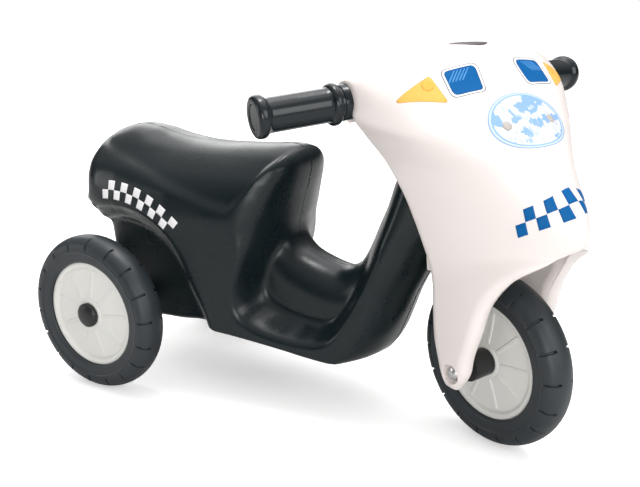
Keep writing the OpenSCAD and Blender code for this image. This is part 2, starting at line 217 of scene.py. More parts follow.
def blend(factor, first, second):
    """From the first colour to the second by the factor; either may come from a node."""
    a, b = (c if isinstance(c, bpy.types.NodeSocket) else (*c, 1) for c in (first, second))
    mix = add_node(factor.id_data, "Mix", setup=[("data_type", "RGBA")], Factor=factor, A=a, B=b)
    return mix.outputs["Result"]


def spread(value, start=0.0, end=1.0, lowest=0.0, highest=1.0):
    """Spreads the span from start to end over the one from lowest to highest, and clamps it."""
    return add_node(value.id_data, "MapRange", Value=value, From_Min=start, From_Max=end,
                    To_Min=lowest, To_Max=highest).outputs["Result"]


def bumped(height, strength, distance, **normal):
    return add_node(height.id_data, "Bump", Height=height, Strength=strength,
                    Distance=distance, **normal).outputs["Normal"]


PLASTIC_IOR = 1.48
MARKED = (0.64, 0.78)       # noise over which a scuff mark grows to its full strength
WORN = (0.53, 0.62)         # pointiness over which an edge grows worn
WEAR_AMOUNT = 0.35


def moulded(name, colour, shade, rough, rough_span, grain, depth=0.00006, ripple=0.0012,
            shine=0.5, coat=0.0, scuff=None, scuff_amount=0.0, wear=None):
    """Moulded plastic or rubber: slow colour drift, fine grain, uneven gloss, scuffs and wear.

    Grain is the scale of the fine bump and depth its height; ripple is the height of the slow
    waves. Scuff and wear are colours, of stray marks and of the outer edges.
    """
    mat, shader, coords = new_material(name)
    tint = blend(noise(coords, scale=9.0, detail=4.0, roughness=0.6), colour, shade)
    if scuff:
        marks = noise(coords, scale=140.0, detail=6.0, roughness=0.75, distortion=1.4)
        tint = blend(spread(marks, *MARKED, highest=scuff_amount), tint, scuff)
    if wear:
        edges = add_node(mat.node_tree, "NewGeometry").outputs["Pointiness"]
        tint = blend(spread(edges, *WORN, highest=WEAR_AMOUNT), tint, wear)
    patches = noise(coords, scale=38.0, detail=5.0, roughness=0.65)
    gloss = spread(patches, 0.3, 0.7, lowest=rough, highest=rough + rough_span)
    waves = bumped(noise(coords, scale=26.0, detail=2.0), strength=0.35, distance=ripple)
    fine = bumped(noise(coords, scale=grain, detail=3.0, roughness=0.55), strength=0.5,
                  distance=depth, Normal=waves)
    plug(shader, Base_Color=tint, Roughness=gloss, Normal=fine, IOR=PLASTIC_IOR,
         Specular_IOR_Level=shine, Coat_Weight=coat, Coat_Roughness=0.12)
    return mat


BLACK = moulded("body_black", (0.0035, 0.0085, 0.0105), (0.006, 0.012, 0.0145),
                rough=0.24, rough_span=0.1, grain=1100, depth=0.00002, ripple=0.0004,
                shine=0.36, scuff=(0.016, 0.022, 0.025), scuff_amount=0.05)
WHITE = moulded("fairing_white", (0.80, 0.735, 0.705), (0.845, 0.785, 0.76),
                rough=0.3, rough_span=0.14, grain=700, depth=0.00004, coat=0.15,
                scuff=(0.62, 0.55, 0.5), scuff_amount=0.12)
RIM = moulded("rim_grey", (0.70, 0.70, 0.665), (0.75, 0.75, 0.715),
              rough=0.42, rough_span=0.14, grain=800,
              scuff=(0.52, 0.51, 0.48), scuff_amount=0.25)
RUBBER = moulded("tyre_black", (0.014, 0.019, 0.023), (0.024, 0.031, 0.036),
                 rough=0.36, rough_span=0.16, grain=1300, depth=0.00012,
                 scuff=(0.09, 0.09, 0.09), scuff_amount=0.35, wear=(0.06, 0.063, 0.066))
GRIP = moulded("grip_black", (0.005, 0.009, 0.0115), (0.008, 0.013, 0.016),
               rough=0.16, rough_span=0.1, grain=900, depth=0.00004, ripple=0.0002,
               shine=0.4, scuff=(0.02, 0.024, 0.027), scuff_amount=0.08)
HUB = moulded("hub_black", (0.006, 0.0065, 0.007), (0.012, 0.012, 0.013),
              rough=0.33, rough_span=0.14, grain=900,
              scuff=(0.04, 0.04, 0.04), scuff_amount=0.3)
CAP = moulded("cap_dark", (0.045, 0.03, 0.036), (0.065, 0.045, 0.05),
              rough=0.38, rough_span=0.12, grain=800)


def plated(name):
    """Zinc-plated steel with fine turning marks and spangled gloss."""
    mat, shader, coords = new_material(name)
    cells = add_node(mat.node_tree, "TexVoronoi", Vector=coords, Scale=420.0)
    grain = noise(coords, scale=600.0, detail=4.0)
    plug(shader, Metallic=1.0,
         Base_Color=blend(cells.outputs["Distance"], (0.62, 0.61, 0.6), (0.5, 0.5, 0.51)),
         Roughness=spread(grain, lowest=0.2, highest=0.4),
         Normal=bumped(grain, strength=0.4, distance=0.00005))
    return mat


STEEL = plated("zinc_steel")


def film(name, colour, shade):
    """Printed sticker film: faint mottling in the ink and a soft gloss."""
    mat, shader, coords = new_material(name)
    ink = noise(coords, scale=220.0, detail=5.0, roughness=0.7)
    plug(shader, Base_Color=blend(ink, colour, shade), Specular_IOR_Level=0.12,
         Roughness=spread(ink, lowest=0.32, highest=0.44),
         Normal=bumped(ink, strength=0.2, distance=0.00004))
    return mat


FILM_BLUE = film("film_blue", (0.0, 0.092, 0.3), (0.0, 0.115, 0.34))
FILM_BLUE_DARK = film("film_blue_dark", (0.02, 0.04, 0.13), (0.03, 0.06, 0.17))
FILM_BLUE_LIGHT = film("film_blue_light", (0.05, 0.24, 0.56), (0.1, 0.32, 0.64))
FILM_WHITE = film("film_white", (0.84, 0.84, 0.85), (0.9, 0.9, 0.91))
FILM_ORANGE = film("film_orange", (0.84, 0.43, 0.085), (0.88, 0.52, 0.14))
FILM_ORANGE_DEEP = film("film_orange_deep", (0.83, 0.4, 0.065), (0.86, 0.47, 0.1))
FILM_ORANGE_DARK = film("film_orange_dark", (0.62, 0.3, 0.05), (0.75, 0.38, 0.07))
FILM_LENS_RIM = film("film_lens_rim", (0.2, 0.4, 0.68), (0.28, 0.48, 0.74))
FILM_LENS_EDGE = film("film_lens_edge", (0.52, 0.6, 0.7), (0.6, 0.66, 0.74))
FILM_GREY = film("film_grey", (0.43, 0.4, 0.37), (0.5, 0.47, 0.44))


def lens_film(name):
    """Print of a ribbed lamp glass: ragged pale blocks over blue, and thin upright lines."""
    mat, shader, coords = new_material(name)
    tree = mat.node_tree
    ragged = add_node(tree, "TexNoise", Vector=coords, Scale=420.0, Detail=3.0)
    shift = add_node(tree, "VectorMath", ragged.outputs["Color"],
                     setup=[("operation", "SCALE")], Scale=0.006)
    moved = add_node(tree, "VectorMath", coords, shift.outputs["Vector"],
                     setup=[("operation", "ADD")])
    blocks = add_node(tree, "TexVoronoi", setup=[("distance", "CHEBYCHEV")],
                      Vector=moved.outputs["Vector"], Scale=105.0)
    level = add_node(tree, "Math", noise(coords, scale=34.0, detail=2.0),
                     blocks.outputs["Color"], setup=[("operation", "ADD")])
    pale = spread(level.outputs["Value"], 0.8, 0.84)
    squeeze = add_node(tree, "Mapping", Vector=coords, Scale=(30.0, 290.0, 30.0))
    ribs = add_node(tree, "TexVoronoi", setup=[("feature", "DISTANCE_TO_EDGE")],
                    Vector=squeeze.outputs["Vector"], Scale=1.0)
    lines = spread(ribs.outputs["Distance"], 0.03, 0.07, lowest=0.55)
    both = add_node(tree, "Math", pale, lines, setup=[("operation", "MULTIPLY")])
    plug(shader, Roughness=0.3, Normal=bumped(lines, strength=0.15, distance=0.0001),
         Base_Color=blend(both.outputs["Value"], (0.24, 0.42, 0.74), (0.73, 0.725, 0.75)))
    return mat


FILM_LENS = lens_film("film_lens")

# ---------------------------------------------------------------------------------------------
# Body moulding

# rows across the side view: x and z on the upper outline, then on the lower one
BODY_ROWS = [
    [-67, 198, -60, 181], [-70, 217, -43, 165], [-64, 239, -34, 142], [-48, 256, -29, 116],
    [-24, 264.5, -25, 88], [3, 263, -12, 67], [30, 257.5, 10, 60], [60, 254, 30, 60],
    [90, 253.5, 48, 61], [120, 255, 62, 62], [150, 257, 74, 63.5], [172, 259, 84, 65],
    [186, 258.5, 92, 65.5], [194.5, 252, 98, 66], [198, 241, 103, 66], [195.5, 226, 108, 66],
    [190.5, 209, 114, 66], [186.5, 192, 122, 65.5], [183.5, 176, 133, 65], [187, 163, 151, 63.5],
    [197, 153.5, 179, 60.5], [213, 147.5, 203, 57.5], [230, 143.5, 223, 54.5],
    [244, 143, 238, 52.5], [257, 150, 250, 51.5], [266, 163, 262, 53], [273, 178, 276, 58],
    [280, 195, 289, 67.5], [288, 214, 299, 83], [295, 236, 308, 105], [303, 257, 317, 128],
    [313, 276, 330, 154], [325, 290, 345, 180], [337, 298, 371, 197], [344, 302, 392, 230],
    [350, 304, 389, 280], [356, 305, 378, 304]]
# outlines in the side view, as x and z: the leg pocket, and the sunk side of the saddle
POCKET = [
    [196, 244], [186, 230], [176, 206], [167, 180], [159, 150], [154, 132], [152, 118], [153, 107],
    [157.5, 97.5], [166, 90], [178, 85], [194, 81.5], [214, 79], [236, 79.5], [248, 84], [257, 93],
    [264, 104], [272, 117], [284, 142], [297, 175],
    [308, 204], [318, 231], [330, 290], [240, 300], [225, 240], [215, 252]]
PANEL = [
    [-70, 262], [-45, 247], [5, 235], [39, 226], [91, 211], [122, 203.5], [143, 200], [153, 207],
    [163, 222], [174, 240], [188, 254], [190, 290], [-60, 290]]
# tables: half width by x, the part of it left by z, and the rounding's radius by x
BODY_SIDE = [[-80, 70], [-40, 77], [0, 80], [70, 80], [120, 77], [170, 70], [220, 63],
             [260, 56], [300, 50], [335, 36], [400, 33]]
SADDLE = [[190, 1], [210, 0.955], [228, 0.88], [244, 0.76], [262, 0.66]]
TOP_ROUND = [[-80, 48], [0, 44], [150, 42], [200, 40], [245, 40], [300, 36]]
LOW_ROUND = [[255, 11], [295, 30]]
ROUND_TURN = (0.3, 0.75)    # part of the height where the upper rounding turns into the lower
SQUARE, SQUARE_X = 0.75, (175, 270)         # fuller edges behind, plain round ones in front
SADDLE_END = 215
PANEL_SINK, PANEL_STEP = 5.4, (1.2, -3.6)
ARCH = np.array([2.0, 81.0])
ARCH_R = 110
ARCH_HALF_W = 54
BEAD, BEAD_WALL = 0.4, 6.5                  # part of the arch's depth down to its bead
RECESS_START, RECESS_END = 13.5, 22
FOOT_Z, FOOT_WALL, FOOT_RECESS = (170, 95), 26, 11
FOOT_X, FOOT_FLARE, FOOT_FLARE_Z = 60, 20, (125, 55)
TAIL_FLARE, TAIL_FLARE_X = 16, (-28, -62)
POCKET_HALF_W = 35
POCKET_EDGE = 4
POCKET_WALL, POCKET_WALL_MORE, POCKET_WALL_Z = 15, 14, (120, 190)
POCKET_BLUR, WIDTH_BLUR = 24, 2
TAIL_ROWS, TAIL_RINGS, OTHER_RINGS = 9, 26, 13
BODY_COLUMNS = 108
COLUMN_POWER = 2.3          # crowds the columns towards both outlines
SEAM_RISE = 0.45


def blurred(values, times):
    """A grid of values with its steps softened, a point at a time."""
    v = values.copy()
    for _ in range(times):
        w = np.pad(v, 1, mode="edge")
        v = (w[:-2, 1:-1] + w[2:, 1:-1] + w[1:-1, :-2] + w[1:-1, 2:] + 4 * v) / 8
    return v


def body_half_width(q, shape):
    x, z = q[:, 0], q[:, 1]
    panel = smooth(*PANEL_STEP, outline_dist(q, PANEL))
    panel = blurred(panel.reshape(shape), 1).reshape(-1)
    base = (table(BODY_SIDE, x) * np.where(x < SADDLE_END, table(SADDLE, z), 1)
            - PANEL_SINK * panel)
    # the arch opens out a little towards its foot and towards the tail
    flare = (np.where(x > FOOT_X, FOOT_FLARE * smooth(*FOOT_FLARE_Z, z), 0)
             + TAIL_FLARE * smooth(*TAIL_FLARE_X, x))
    r = np.linalg.norm(q - ARCH, axis=1) - flare
    # a steep wall down to a rounded bead, and the deep recess behind it; they run into one
    # easy slope at the foot of the arch
    foot = smooth(*FOOT_Z, z)
    bead = smooth(ARCH_R, ARCH_R - BEAD_WALL - FOOT_WALL * foot, r)
    deep = smooth(ARCH_R - RECESS_START * (1 - foot), ARCH_R - RECESS_END - FOOT_RECESS * foot, r)
    in_arch = BEAD * bead + (1 - BEAD) * deep
    arched = base + (np.minimum(base, ARCH_HALF_W) - base) * in_arch
    # the leg pocket has a short wall at its foot, and a wide soft one beside the saddle
    wall = POCKET_WALL + POCKET_WALL_MORE * smooth(*POCKET_WALL_Z, z)
    in_pocket = smooth(0, 1, (POCKET_EDGE - outline_dist(q, POCKET)) / wall)
    in_pocket = blurred(in_pocket.reshape(shape), POCKET_BLUR).reshape(-1)
    return arched + (np.minimum(arched, POCKET_HALF_W) - arched) * in_pocket


def crowded(count, power):
    """Values from 0 to 1, closer together at both ends."""
    t = np.linspace(0, 1, count)
    return t ** power / (t ** power + (1 - t) ** power)


def body_moulding():
    """The two halves of the shell, as a grid of points in the side view pushed out sideways."""
    last = len(BODY_ROWS) - 1
    s = np.concatenate([np.arange(TAIL_ROWS * TAIL_RINGS) / TAIL_RINGS,
                        TAIL_ROWS + np.arange((last - TAIL_ROWS) * OTHER_RINGS + 1) / OTHER_RINGS])
    rows = along(BODY_ROWS, s)
    shape = (len(s), BODY_COLUMNS)
    edge = np.concatenate([rows[::2, :2], rows[::-2, 2:]])
    f = crowded(BODY_COLUMNS, COLUMN_POWER)
    top, bottom = rows[:, None, :2], rows[:, None, 2:]
    q = (top + (bottom - top) * f[None, :, None]).reshape(-1, 2)
    depth = np.maximum(0, -outline_dist(q, edge))
    r_top, r_low = table(TOP_ROUND, q[:, 0]), table(LOW_ROUND, q[:, 0])
    r = r_top + (r_low - r_top) * smooth(*ROUND_TURN, np.tile(f, len(s)))
    square = SQUARE + (1 - SQUARE) * smooth(*SQUARE_X, q[:, 0])
    half_w = blurred(body_half_width(q, shape).reshape(shape), WIDTH_BLUR).reshape(-1)
    y = (half_w * quarter(depth / np.minimum(r, half_w)) ** square).reshape(shape)
    y[[0, -1], :] = 0
    y[:, [0, -1]] = 0
    # the mould's parting line stands a little proud, and follows the outline
    q = q.reshape(*shape, 2)
    for column, run, sign in ((0, rows[:, :2], 1), (-1, rows[:, 2:], -1)):
        tangent = unit(np.gradient(run, axis=0))
        q[:, column] += sign * SEAM_RISE * np.stack([-tangent[:, 1], tangent[:, 0]], -1)
    right = np.stack([q[..., 0], -y, q[..., 1]], -1).reshape(-1, 3)
    left = right * (1, -1, 1)
    faces = grid_faces(*shape) + [f[::-1] for f in grid_faces(*shape, len(right))]
    return new_mesh("body_moulding", np.concatenate([right, left]), faces, sharp=55)


body = piece(body_moulding(), "frame", "body_black", BLACK, "body_shell")

# ---------------------------------------------------------------------------------------------
# Fork and fairing moulding

# rows from the bar's opening round the nose and down the right leg: four points of a curve
# from front to back, and the wall's thickness there
FAIRING_ROWS = [
    [322, 0, 336, 322, 56, 340, 326, 84, 296, 326.2, 107.8, 301, 5],
    [293, 0, 345, 291, 48, 341, 300, 97, 311, 308, 105, 319.5, 5],
    [303, 0, 354, 301, 42, 351, 302, 98, 334.5, 313, 107, 332.5, 5],
    [335, 0, 360, 335, 38, 358.5, 328, 100, 340.5, 325.8, 110.2, 338, 5],
    [375, 0, 359.5, 375, 46, 359.5, 360, 111, 343.5, 338.5, 112.6, 332.5, 5],
    [402, 0, 331, 402, 46, 331, 398, 106, 325, 344, 113, 319.5, 5],
    [428, 0, 304, 428, 42, 304, 416, 99, 296, 338.9, 111, 306.5, 6],
    [447, 0, 285, 447, 33, 284, 428, 88, 280, 331, 95, 290, 9],
    [466, 0, 265, 466, 25, 263, 428, 74, 262, 336, 79, 267, 13],
    [483, 0, 243, 483, 19, 240, 432, 66, 238, 348, 71, 241, 16],
    [491, 0, 225, 491, 16, 222, 436, 61, 216, 357, 65, 214, 18],
    [491, 0, 206, 490, 15, 204, 446, 56, 198, 365, 61, 189, 20],
    [482, 22, 198, 474, 40, 193, 434, 57, 184, 369, 58, 172, 21],
    [454, 44, 178, 446, 54, 173, 418, 58, 167, 371, 57, 155, 21],
    [436, 53, 152, 427, 57, 149, 405, 58, 144, 372, 57, 134, 21],
    [427, 55, 123, 420, 58, 121, 402, 58, 118, 374, 57, 110, 21],
    [419, 56, 98, 414, 58, 97, 398, 58, 95, 379, 57, 91, 21],
    [415, 56, 80, 410, 58, 77, 402, 58, 76, 384, 57, 77, 21],
    [406, 56, 65, 403, 57, 64.5, 399, 57, 64.5, 393, 56, 65, 21]]
LIP_ROW = 11        # the row where the nose's lip meets the two legs
RING_ROW = 6        # the last row that starts at the bar's opening
FAIRING_STEPS = 14
FAIRING_COLUMNS = 56
FAIRING_POWER = 1.7
RING_CENTRE = np.array([326, 109, 319.5])   # the middle of the bar's opening
SHOULDER_HEART = np.array([345, 0, 338])
NOSE_SLANT = 0.35
LEG_TURN = 0.8
LEG_RISE = 0.15


def fairing_skin(s, u):
    """Rows of the fairing's right half, where s counts rows and u goes from front to back."""
    rows = along(FAIRING_ROWS, s)
    rows[s <= LIP_ROW, 1] = 0
    p = [rows[:, None, 3 * k:3 * k + 3] for k in range(4)]
    u = u[:, None]
    return rows, ((1 - u) ** 3 * p[0] + 3 * u * (1 - u) ** 2 * p[1]
                  + 3 * u * u * (1 - u) * p[2] + u ** 3 * p[3])


def fairing_walls():
    """Outer and inner face of the wall, with its edges rounded."""
    last = (len(FAIRING_ROWS) - 1) * FAIRING_STEPS
    s = np.arange(last + 1) / FAIRING_STEPS
    u = crowded(FAIRING_COLUMNS, FAIRING_POWER)
    rows, p = fairing_skin(s, u)
    back_edge, front_edge = rows[:, 9:12], rows[:, 0:3]
    rim = np.concatenate([front_edge[s >= LIP_ROW], p[-1]])
    to_rim = np.linalg.norm(p - back_edge[:, None], axis=2)
    for q in rim:
        to_rim = np.minimum(to_rim, np.linalg.norm(p - q, axis=2))
    half = rows[:, 12:13] / 2
    edge = quarter(to_rim / half)
    edge[0] = 0
    # the way into the wall, at the front and at the back of each row
    ones, zeros = np.ones(len(s)), np.zeros(len(s))
    slant = -NOSE_SLANT * (LIP_ROW - s) / (LIP_ROW - RING_ROW)
    nose = unit(np.stack([-ones, zeros, slant], -1))
    leg = unit(np.stack([-1 + smooth(LIP_ROW, LIP_ROW + 2.5, s) * LEG_TURN,
                         -smooth(LIP_ROW, LIP_ROW + 2, s), LEG_RISE * ones], -1))
    front = np.where((s <= RING_ROW)[:, None], unit(SHOULDER_HEART - front_edge),
                     np.where((s <= LIP_ROW)[:, None], nose, leg))
    ring = unit(RING_CENTRE - back_edge)
    rear = unit(ring + (np.array([0, -1, 0]) - ring)
                * smooth(RING_ROW, RING_ROW + 1.5, s)[:, None])
    into = unit(front[:, None] + (rear - front)[:, None] * smooth(0, 0.8, u)[None, :, None])
    return [p + into * (half * (1 + side * edge))[:, :, None] for side in (-1, 1)]


COLUMNS = 96
CORE_COLUMNS = 64


def lathe(points, columns=COLUMNS):
    """Points of a surface of revolution about Z through the profile (radius, height)."""
    p = np.asarray(points, float)
    a = np.arange(columns) * 2 * math.pi / columns
    return np.stack([p[:, None, 0] * np.cos(a), p[:, None, 0] * np.sin(a),
                     p[:, None, 1] * np.ones(columns)], -1).reshape(-1, 3)


def lathe_faces(rows, columns=COLUMNS, closed=True):
    """Faces of a lathed profile; a closed profile joins its last ring to its first."""
    faces = grid_faces(rows, columns, closed=True)
    if closed:
        here = np.arange(columns)
        beside = (here + 1) % columns
        last = (rows - 1) * columns
        faces += np.stack([last + here, last + beside, beside, here], -1).tolist()
    return faces


def across(x, y, z, side):
    """Local Z runs out to the left (side = 1) or to the right (side = -1)."""
    return Matrix.Translation((x, y, z)) @ Matrix.Rotation(math.radians(-90 * side), 4, "X")


def on_axis():
    """Local Z runs up the steering axis."""
    lean = math.atan2(-STEERING["axis"][0], STEERING["axis"][2])
    straight = (Vector(STEERING["pos_m"]) - ORIGIN) / MM
    return Matrix.Translation(straight) @ Matrix.Rotation(-lean, 4, "Y")


CAP_R = 16.5
CAP_TILT = math.radians(-1.5)
CAP_PLACE = (356.5, 0, 360.4)
BAR_SWEEP = math.radians(12.4)
BAR_DROOP = math.radians(3.8)
BAR_MEET = (350, 0, 326.8)
LEG_FACE = 52.0
BOLT_RECESS = [[0, 0], [9, 0], [9, 4.6], [9.3, 5.2], [9.8, 5.6], [11, 12], [0, 12]]
CAP_RECESS = [[0, -2], [CAP_R, -2], [CAP_R, 9], [0, 9]]


def on_cap():
    return Matrix.Translation(CAP_PLACE) @ Matrix.Rotation(CAP_TILT, 4, "Y")


def on_bar(side):
    """Local Z runs out along one side's handlebar."""
    return (Matrix.Translation(BAR_MEET) @ Matrix.Rotation(side * BAR_SWEEP, 4, "Z")
            @ Matrix.Rotation(-side * (math.pi / 2 + BAR_DROOP), 4, "X"))


def recess(obj, cuts):
    """Cuts each turned profile out of the object at its place."""
    cutters = []
    for profile, place in cuts:
        cutter = new_mesh("cutter", lathe(profile, CORE_COLUMNS),
                          lathe_faces(len(profile), CORE_COLUMNS, closed=False),
                          TO_FORK @ place)
        modifier = obj.modifiers.new("recess", "BOOLEAN")
        modifier.object = cutter
        modifier.operation = "DIFFERENCE"
        modifier.solver = "EXACT"
        cutters.append(cutter)
    bpy.context.view_layer.update()
    seen = obj.evaluated_get(bpy.context.evaluated_depsgraph_get())
    cut = bpy.data.meshes.new_from_object(seen)
    obj.modifiers.clear()
    obj.data = cut
    for cutter in cutters:
        bpy.data.objects.remove(cutter)
    shade_smooth(cut, 50)


def fairing_moulding():
    """Both walls on both sides, with recesses for the bolt's head, its nut and the cap."""
    outer, inner = fairing_walls()
    rows, cols = outer.shape[:2]
    points, faces = [], []
    for wall, flip in ((outer, False), (inner, True)):
        for side in (1, -1):
            made = grid_faces(rows, cols, len(points) * rows * cols)
            points.append((wall * (1, side, 1)).reshape(-1, 3))
            faces += [f[::-1] for f in made] if flip != (side < 0) else made
    obj = new_mesh("fairing_moulding", np.concatenate(points), faces, TO_FORK)
    recess(obj, [(BOLT_RECESS, across(WHEELBASE, -LEG_FACE, AXLE_Z, -1)),
                 (BOLT_RECESS, across(WHEELBASE, LEG_FACE, AXLE_Z, 1)),
                 (CAP_RECESS, on_cap())])
    return obj


BOSS = [[0, 112], [15, 112], [16, 113], [16, 154], [15, 155], [0, 155]]
SOCKET = [[0, 4], [13, 4], [14, 5], [14, 59], [13, 60], [0, 60]]
BRIDGE_HALF = (17, 49)
BRIDGE_TAPER, BRIDGE_TAPER_Y = 0.2, 18
BRIDGE_RINGS = [(-32, 0.96), (-31, 1), (-19.2, 1), (-18.2, 0.96)]    # height, scale


def bridge():
    """A rounded bar across the two legs, round the steering pin; narrower at its ends."""
    long, wide = BRIDGE_HALF
    outline = []
    for a in np.arange(COLUMNS) * 2 * math.pi / COLUMNS:
        c, d = math.cos(a), math.sin(a)
        reach = min(long / max(abs(c), 1e-6), wide / max(abs(d), 1e-6))
        y = d * reach
        narrow = BRIDGE_TAPER * smooth(BRIDGE_TAPER_Y, wide, abs(y))
        outline.append((c * reach * (1 - narrow), y))
    rings = [[(x * k, y * k, h) for x, y in outline] for h, k in BRIDGE_RINGS]
    ends = [[(0, 0, BRIDGE_RINGS[k][0])] * COLUMNS for k in (0, -1)]
    points = np.array([ends[0]] + rings + [ends[1]])
    return points.reshape(-1, 3), grid_faces(len(points), COLUMNS, closed=True)


def inner_core():
    """Bridge over the wheel, boss under the top skin and sockets of the handlebar tubes."""
    points, faces = [], []
    sides = lathe_faces(len(BOSS), CORE_COLUMNS, closed=False)
    for p, made, matrix in ((lathe(BOSS, CORE_COLUMNS), sides, on_axis()),
                            (lathe(SOCKET, CORE_COLUMNS), sides, on_bar(-1)),
                            (lathe(SOCKET, CORE_COLUMNS), sides, on_bar(1)),
                            (*bridge(), on_axis())):
        base = sum(len(q) for q in points)
        m = np.array(matrix)
        points.append(p @ m[:3, :3].T + m[:3, 3])
        faces += [[base + i for i in face] for face in made]
    return new_mesh("fork_core", np.concatenate(points), faces, TO_FORK, sharp=35)


fairing = piece(fairing_moulding(), "fork", "fairing_white", WHITE, "fork_fairing")
piece(inner_core(), "fork", "fairing_white", WHITE, "fork_fairing")

# ---------------------------------------------------------------------------------------------
# Wheels

RIBS = 9
RIB_START = math.radians(4.7)
RIB_SPAN = (19.0, 45.3)
RIB_RISE, RIB_EDGE = 1.25, (1.75, 0.95)
RIB_DENT, RIB_DENT_EDGE = 0.35, (0.8, 0.3)      # the shallow groove along a rib's back
RIM_COLUMNS = 432
DISC_HUB = [[6.06, 12.6], [6.5, 13], [13.6, 13], [14.3, 12.7], [15, 11.9]]
DISC_CONE = [[r, 11.6 - 3.2 * math.sin((r - 15.6) / 31.4 * math.pi / 2)]
             for r in np.linspace(15.6, 47.0, 46)]
DISC_LIP = [[47.5, 8.2], [48.0, 7.9], [48.6, 7.9], [49.1, 8.3], [49.5, 9.4], [49.9, 10.7],
            [50.5, 11.5], [51.4, 11.9], [52.8, 12], [54.2, 11.9], [55.0, 11.7], [55.5, 11.3],
            [56.4, 9.8], [57.4, 8]]
TYRE_BEAD = [[57.45, 8], [56.4, 10], [55.6, 11.7], [55.6, 13.2], [56.4, 14.4], [58.0, 15.1]]
TYRE_WALL = [[r, 15.1 + (r - 58.0) * 0.11] for r in np.linspace(58.8, 68.6, 15)]
TYRE_TREAD = [[63.2 + 19 * math.cos(a) ** 0.62, 16.7 * math.sin(a)]
              for a in np.radians(np.linspace(80, 0, 34))]
TYRE_HEART = (66, 0)
RIDGE_R, RIDGE_RISE, RIDGE_WIDTH = 67.0, 0.8, 0.8       # between sidewall and tread
SLOT_FROM, SLOT_TO = 69.2, 80.9     # radii between which a slot runs
SLOT_DEPTH, SLOT_EDGE = 1.9, (1.35, 0.75)
PIT_DEPTH, PIT_EDGE = 0.8, (1.6, 0.8)
SLOT_HALF_ANGLE = 2.6 / 76
SLOT_ANGLES = [3.7, 24.5, 45.4, 65.3, 86.9, 106.7, 127, 147, 166.5, 186, 206, 226, 246, 266,
               286, 305, 324.7, 343.1]


def capsule(u, v, start, end):
    """Distance of points (u, v) to the segment from (start, 0) to (end, 0)."""
    return np.hypot(u - np.clip(u, start, end), v)


def wheel_disc():
    """One moulded disc: hub, slightly hollow cone with nine ribs, groove and lip, both sides."""
    side = np.array(DISC_HUB + DISC_CONE + DISC_LIP)
    profile = np.concatenate([side, (side * (1, -1))[::-1]])
    points = lathe(profile, RIM_COLUMNS).reshape(len(profile), RIM_COLUMNS, 3)
    r = np.hypot(points[..., 0], points[..., 1])
    angle = np.arctan2(points[..., 1], points[..., 0]) - RIB_START
    step = 2 * math.pi / RIBS
    angle = (angle + step / 2) % step - step / 2
    d = capsule(r * np.cos(angle), r * np.sin(angle), *RIB_SPAN)
    rise = RIB_RISE * smooth(*RIB_EDGE, d) - RIB_DENT * smooth(*RIB_DENT_EDGE, d)
    rise *= (r > DISC_HUB[-1][0]) & (r < 47.6)      # on the cone alone
    points[..., 2] += np.sign(points[..., 2]) * rise
    return points.reshape(-1, 3), lathe_faces(len(profile), RIM_COLUMNS)


def tyre_columns(centres):
    """Angles with close columns at every slot and wide ones between them."""
    near = SLOT_HALF_ANGLE
    angles = []
    for centre, following in zip(centres, [*centres[1:], centres[0] + 2 * math.pi]):
        angles += list(centre + np.linspace(-near, near, 13))
        angles += list(np.linspace(centre + near, following - near, 14)[1:-1])
    return np.array(angles)


def tyre():
    """Tyre: flat sidewall with a ridge, round tread, and slots on both shoulders."""
    side = np.array(TYRE_BEAD + TYRE_WALL + TYRE_TREAD)
    profile = np.concatenate([side, (side[:-1] * (1, -1))[::-1]])
    step = np.linalg.norm(np.diff(profile, axis=0), axis=1)
    length = np.concatenate([[0], np.cumsum(step)])
    tangent = np.gradient(profile, axis=0)
    normal = unit(np.stack([-tangent[:, 1], tangent[:, 0]], -1))
    normal *= np.sign((normal * (profile - TYRE_HEART)).sum(1))[:, None]
    ridge = RIDGE_RISE * np.exp(-((profile[:, 0] - RIDGE_R) / RIDGE_WIDTH) ** 2)
    ridge *= np.abs(profile[:, 1]) > 13
    profile = profile + normal * ridge[:, None]
    centres = np.radians(SLOT_ANGLES)
    columns = tyre_columns(centres)
    tread = len(TYRE_BEAD) + len(TYRE_WALL)
    start = length[np.argmax(side[:, 0] > SLOT_FROM)]
    end = length[tread + np.argmax(side[tread:, 0] > SLOT_TO)]
    along_side = np.minimum(length, length[-1] - length)[:, None]
    nearest = np.min(np.abs((columns[:, None] - centres + math.pi) % (2 * math.pi) - math.pi),
                     axis=1)
    off_centre = profile[:, :1] * nearest
    # each slot is a shallow groove that ends in a slightly deeper pit
    sink = (SLOT_DEPTH * smooth(*SLOT_EDGE, capsule(along_side, off_centre, start, end))
            + PIT_DEPTH * smooth(*PIT_EDGE, np.hypot(along_side - end, off_centre)))
    ring = profile[:, None] - normal[:, None] * sink[..., None]
    points = np.stack([ring[..., 0] * np.cos(columns), ring[..., 0] * np.sin(columns),
                       ring[..., 1]], -1)
    return points.reshape(-1, 3), lathe_faces(len(profile), len(columns))


DISC = wheel_disc()
TYRE = tyre()
WHEELS = {
    "rear_right": ("rear_wheel_right", TO_FRAME @ across(0, -REAR_WHEEL_Y, AXLE_Z, -1)),
    "rear_left": ("rear_wheel_left", TO_FRAME @ across(0, REAR_WHEEL_Y, AXLE_Z, 1)),
    "front": ("front_wheel", TO_FORK @ across(WHEELBASE, 0, AXLE_Z, -1))}
for place, (rides_on, matrix) in WHEELS.items():
    disc = new_mesh(f"disc_{place}", *DISC, matrix, sharp=48)
    piece(disc, rides_on, "rim", RIM, f"rim_{place}")
    tread = new_mesh(f"tread_{place}", *TYRE, matrix, sharp=50)
    piece(tread, rides_on, "tyre", RUBBER, f"tyre_{place}")

# ---------------------------------------------------------------------------------------------
# Small turned parts, with rounder edges than the frame's

def turned(name, profile, matrix, rides_on, mat, node):
    obj = new_mesh(name, lathe(profile), lathe_faces(len(profile)), matrix, sharp=40)
    piece(obj, rides_on, "grip_black", mat, node)


